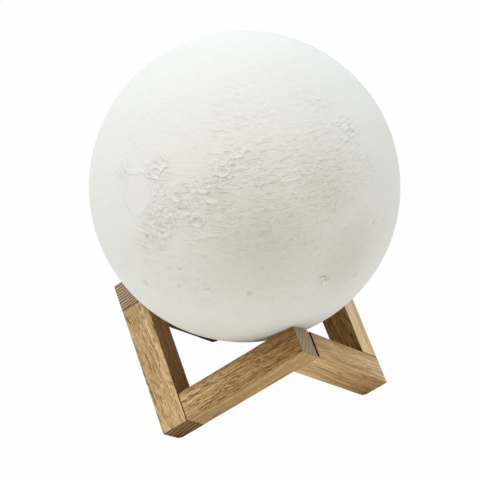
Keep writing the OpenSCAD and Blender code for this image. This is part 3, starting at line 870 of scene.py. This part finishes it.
# For each bar: where the tree's middle lies beside it and how wide its growth rings are, in millimetres, how
# clearly they show on its ends, how dark the joint at its start is, how far the grain runs out of its side per
# length, and how many fine lines it has
GROWTH = (
    ((-40, 34), 2.6, 0.36, 0.75, 0.0, 13), ((16, 60), 2.0, 0.6, 0.0, 0.02, 6),
    ((-40, 25), 3.0, 0.6, 0.6, 0.03, 9), ((20, -35), 2.6, 0.6, 0.6, -0.03, 9),
    ((130, 12), 1.5, 1.5, 0.6, 0.03, 10), ((12, -80), 2.9, 1.4, 0.75, 0.10, 11),
)
for seed, (bar, growth) in enumerate(zip(make_bars(), GROWTH)):
    dress(bar, wood_material(bar.name, seed + 1, *growth))
    weighted = bar.modifiers.new("flat_faces", "WEIGHTED_NORMAL")
    weighted.keep_sharp = True

CAD_FINISH = {
    "dowel_wood": (srgb(205, 176, 134), 0.6, 0.0), "base_plastic": (srgb(240, 240, 236), 0.38, 0.0),
    "button_metal": (srgb(200, 200, 202), 0.32, 1.0), "socket_metal": (srgb(205, 205, 208), 0.2, 1.0),
    "steel": (srgb(180, 180, 184), 0.35, 1.0), "black_plastic": (srgb(28, 28, 30), 0.45, 0.0),
    "lens": (srgb(225, 230, 230), 0.3, 0.0), "circuit_board": (srgb(20, 92, 52), 0.4, 0.0),
    "cell_wrap": (srgb(38, 90, 150), 0.35, 0.0), "foam": (srgb(46, 46, 48), 0.9, 0.0),
    "lead_insulation": (srgb(190, 36, 30), 0.45, 0.0), "white_board": (srgb(238, 238, 236), 0.4, 0.0),
    "led": (srgb(240, 214, 120), 0.35, 0.0), "diffuser": (srgb(242, 242, 238), 0.5, 0.0),
}
UNDERSIDE = {"base_cap": 0.3, "neck_ring": 0.3, "power_button": 0.25, "indicator_lens": 0.12, "socket_shell": 0.1,
             "socket_tongue": 0.1}  # with the radius of their edges, in mm
slot_of = {row["node"]: row["material_slot"] for row in frame["record"]["subparts"]}
for node, piece in frame["nodes"].items():
    if slot_of[node] in CAD_FINISH:
        colour, rough, metal = CAD_FINISH[slot_of[node]]
        dress(piece, plain_material(node + "_finish", colour, rough, metal))
    if node in UNDERSIDE:
        soften(piece, UNDERSIDE[node] * MM)
dress(frame["nodes"]["power_button"], turned_metal("power_button_finish", CAD_FINISH["button_metal"][0]))


# ---------------------------------------------------------------- floor, world and lamps
FLOOR_REACH = 6.0  # metres each way
FLOOR_WHITE = 0.965  # the share of plain white in what the camera sees of it; the rest takes the shadows
FLOOR_BOUNCE = (0.98, 0.97, 0.93, 1)  # its colour for the light that it throws back at the object
FLOOR_SEEN = (0.9, 0.9, 0.9, 1)
# The room's soft light: at the horizon, its rise towards the zenith, away from the photographer and towards the
# left, and how much cooler it is behind the lamp than in front and above than below
HORIZON_LEVEL, ZENITH_RISE, BACK_RISE, LEFT_RISE = 0.44, 0.65, 0.41, 0.13
COOL_BACK, COOL_TOP = 0.10, 0.03
LEAST_LEVEL, MOST_LEVEL = 0.03, 0.89
KEY_PLACE, KEY_SIZE, KEY_POWER = (-0.36, -0.34, 1.82), 1.2, 9.5  # metres and watts


def make_stage():
    mesh = bpy.data.meshes.new("floor")
    far = FLOOR_REACH
    mesh.from_pydata([(-far, -far, 0), (far, -far, 0), (far, far, 0), (-far, far, 0)], [], [(0, 1, 2, 3)])
    floor = bpy.data.objects.new("floor", mesh)
    scene.collection.objects.link(floor)
    n = Nodes(bpy.data.materials.new("floor"))
    tree = n.tree
    white = tree.nodes.new("ShaderNodeEmission")
    white.inputs["Color"].default_value = (1, 1, 1, 1)
    white.inputs["Strength"].default_value = 1.0
    n.shader.inputs["Roughness"].default_value = 0.9
    n.shader.inputs["Specular IOR Level"].default_value = 0.1
    path = tree.nodes.new("ShaderNodeLightPath")
    colour = n.mix(path.outputs["Is Camera Ray"], FLOOR_BOUNCE, FLOOR_SEEN)
    tree.links.new(colour, n.shader.inputs["Base Color"])
    seen = n.math("MULTIPLY", path.outputs["Is Camera Ray"], FLOOR_WHITE)
    blend = tree.nodes.new("ShaderNodeMixShader")
    tree.links.new(seen, blend.inputs[0])
    tree.links.new(n.shader.outputs[0], blend.inputs[1])
    tree.links.new(white.outputs[0], blend.inputs[2])
    tree.links.new(blend.outputs[0], tree.nodes["Material Output"].inputs["Surface"])
    dress(floor, n.owner)


def make_world():
    world = bpy.data.worlds.new("studio")
    scene.world = world
    n = Nodes(world)
    heading = math.radians(CAMERA_AZIMUTH)
    away = Vector((-math.sin(heading), math.cos(heading), 0))
    left = Vector((-math.cos(heading), -math.sin(heading), 0))
    rise = away * BACK_RISE + left * LEFT_RISE + Vector((0, 0, ZENITH_RISE))
    direction = n.add("ShaderNodeTexCoord", "Generated")
    level = n.add("ShaderNodeVectorMath", "Value", {0: direction, 1: rise}, operation="DOT_PRODUCT")
    level = n.math("MINIMUM", n.math("MAXIMUM", n.math("ADD", level, HORIZON_LEVEL), LEAST_LEVEL), MOST_LEVEL)
    cooler = away * COOL_BACK + Vector((0, 0, COOL_TOP))
    cool = n.add("ShaderNodeVectorMath", "Value", {0: direction, 1: cooler}, operation="DOT_PRODUCT")
    light = n.add("ShaderNodeCombineXYZ", 0, {0: n.math("SUBTRACT", level, cool), 1: level,
                                              2: n.math("ADD", level, cool)})
    path = n.tree.nodes.new("ShaderNodeLightPath").outputs
    seen = n.math("MAXIMUM", path["Is Camera Ray"], n.math("MAXIMUM", path["Is Glossy Ray"],
                                                           path["Is Transmission Ray"]))
    n.finish(Color=n.mix(seen, light, (1, 1, 1, 1)), Strength=1.0)


def add_lamp(name, place, size, power):
    data = bpy.data.lights.new(name, "AREA")
    data.shape, data.size, data.energy = "DISK", size, power
    lamp = bpy.data.objects.new(name, data)
    scene.collection.objects.link(lamp)
    lamp.location = place
    lamp.rotation_mode = "QUATERNION"
    lamp.rotation_quaternion = (MOON_CENTRE - Vector(place)).to_track_quat("-Z", "Y")


make_stage()
make_world()
add_lamp("key", KEY_PLACE, KEY_SIZE, KEY_POWER)
scene.view_settings.view_transform = "Standard"
